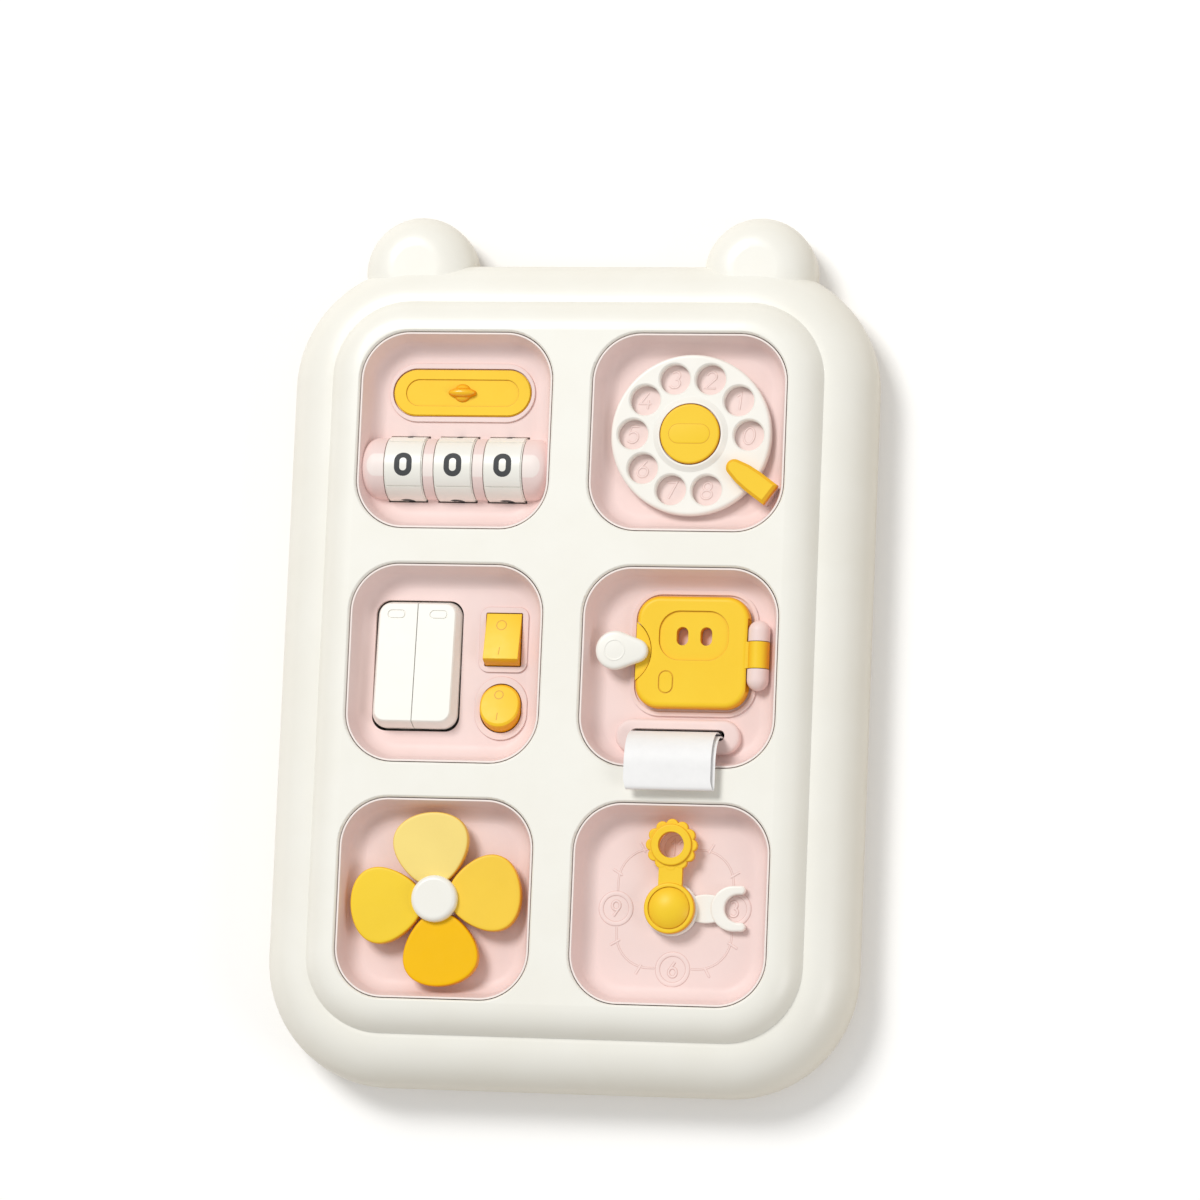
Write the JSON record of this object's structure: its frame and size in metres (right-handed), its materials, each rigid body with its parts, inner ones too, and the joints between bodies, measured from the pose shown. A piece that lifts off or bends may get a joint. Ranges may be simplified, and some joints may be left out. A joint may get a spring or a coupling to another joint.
{
  "type": "busy board",
  "caption": "Cat-eared moulded busy board whose windows hold a combination lock, telephone dial, switches, latched door, spinning flower and a clock with turning hands.",
  "frame": {"origin": "centre of the bounding box's bottom face, at the flat back of the casing", "axes": "the board lies on its back: +Z out of its front, +Y towards the ears, +X to the right seen from the front"},
  "size_m": [0.242, 0.3573, 0.0496],
  "materials": {
    "cream": "smooth glossy moulded plastic",
    "pink": "smooth glossy moulded plastic",
    "yellow": "smooth glossy moulded plastic",
    "ivory": "smooth glossy moulded plastic",
    "petal_top": "smooth glossy moulded plastic",
    "petal_right": "smooth glossy moulded plastic",
    "petal_bottom": "smooth glossy moulded plastic",
    "petal_left": "smooth glossy moulded plastic",
    "steel": "plain zinc-plated steel",
    "strip": "fine woven white satin"
  },
  "bodies": {
    "board": {"front_shell": "cream", "rear_cover": "cream", "tray_lock": "pink", "tray_dial": "pink", "tray_switch": "pink", "tray_door": "pink", "tray_fan": "pink", "tray_clock": "pink", "rear_screws": "steel", "tray_screws": "steel", "wheel_axle": "steel", "axle_screws": "steel", "wall_rocker_pin": "steel", "small_rocker_pin": "steel", "round_rocker_pin": "steel", "door_hinge_pin": "steel", "fan_axle": "steel", "fan_screw": "steel", "dial_spring": "steel", "lock_plate": "yellow", "dial_cap": "yellow", "finger_stop": "yellow", "latch_strike": "yellow", "clock_cap": "yellow"},
    "knob": {"slide_knob": "yellow", "slide_clip": "yellow"},
    "wheel_left": {"digit_wheel_1": "ivory"},
    "wheel_middle": {"digit_wheel_2": "ivory"},
    "wheel_right": {"digit_wheel_3": "ivory"},
    "dial": {"dial_wheel": "ivory"},
    "switch_left": {"wall_rocker_left": "ivory"},
    "switch_right": {"wall_rocker_right": "ivory"},
    "switch_small": {"small_rocker": "yellow"},
    "switch_round": {"round_rocker": "yellow"},
    "door_leaf": {"door": "yellow"},
    "latch": {"door_latch": "ivory", "latch_screw": "steel"},
    "strip": {"pull_strip": "strip", "strip_bar": "steel"},
    "fan": {"fan_petal_1": "petal_top", "fan_petal_2": "petal_right", "fan_petal_3": "petal_bottom", "fan_petal_4": "petal_left", "fan_hub": "ivory", "fan_cap": "ivory"},
    "minute": {"minute_hand": "yellow"},
    "hour": {"hour_hand": "ivory"}
  },
  "joints": [
    {"name": "knob_slide", "type": "slide", "parent": "board", "child": "knob", "axis": [1, 0, 0], "range_m": [-0.002, 0.002]},
    {"name": "wheel_left_turn", "type": "hinge", "parent": "board", "child": "wheel_left", "pos_m": [-0.0686, 0.07185, 0.03], "axis": [1, 0, 0], "continuous": true},
    {"name": "wheel_middle_turn", "type": "hinge", "parent": "board", "child": "wheel_middle", "pos_m": [-0.048, 0.07185, 0.03], "axis": [1, 0, 0], "continuous": true},
    {"name": "wheel_right_turn", "type": "hinge", "parent": "board", "child": "wheel_right", "pos_m": [-0.0274, 0.07185, 0.03], "axis": [1, 0, 0], "continuous": true},
    {"name": "dial_turn", "type": "hinge", "parent": "board", "child": "dial", "pos_m": [0.048, 0.08635, 0.034], "axis": [0, 0, 1], "range_deg": [-324, 0], "stiffness_Nm_per_rad": 0.005, "springref_deg": 60.16, "deforming": ["dial_spring"]},
    {"name": "switch_left_tilt", "type": "hinge", "parent": "board", "child": "switch_left", "pos_m": [-0.06155, -0.00855, 0.026], "axis": [1, 0, 0], "range_deg": [0, 8.8]},
    {"name": "switch_right_tilt", "type": "hinge", "parent": "board", "child": "switch_right", "pos_m": [-0.06155, -0.00855, 0.026], "axis": [1, 0, 0], "range_deg": [0, 8.8]},
    {"name": "switch_small_tilt", "type": "hinge", "parent": "board", "child": "switch_small", "pos_m": [-0.0263, 0.00255, 0.0294], "axis": [1, 0, 0], "range_deg": [0, 30]},
    {"name": "switch_round_tilt", "type": "hinge", "parent": "board", "child": "switch_round", "pos_m": [-0.0263, -0.0253, 0.0294], "axis": [1, 0, 0], "range_deg": [0, 30]},
    {"name": "door_open", "type": "hinge", "parent": "board", "child": "door_leaf", "pos_m": [0.0788, -0.00255, 0.0338], "axis": [0, 1, 0], "range_deg": [0, 100]},
    {"name": "latch_turn", "type": "hinge", "parent": "board", "child": "latch", "pos_m": [0.0211, -0.00175, 0.034], "axis": [0, 0, 1], "range_deg": [-90, 90]},
    {"name": "strip_pull", "type": "slide", "parent": "board", "child": "strip", "axis": [0, 0, 1], "range_m": [0, 0.006]},
    {"name": "fan_spin", "type": "hinge", "parent": "board", "child": "fan", "pos_m": [-0.048, -0.10345, 0.035], "axis": [0, 0, 1], "continuous": true},
    {"name": "minute_turn", "type": "hinge", "parent": "board", "child": "minute", "pos_m": [0.04705, -0.1045, 0.036], "axis": [0, 0, 1], "continuous": true},
    {"name": "hour_turn", "type": "hinge", "parent": "board", "child": "hour", "pos_m": [0.04705, -0.1045, 0.032], "axis": [0, 0, 1], "continuous": true}
  ]
}
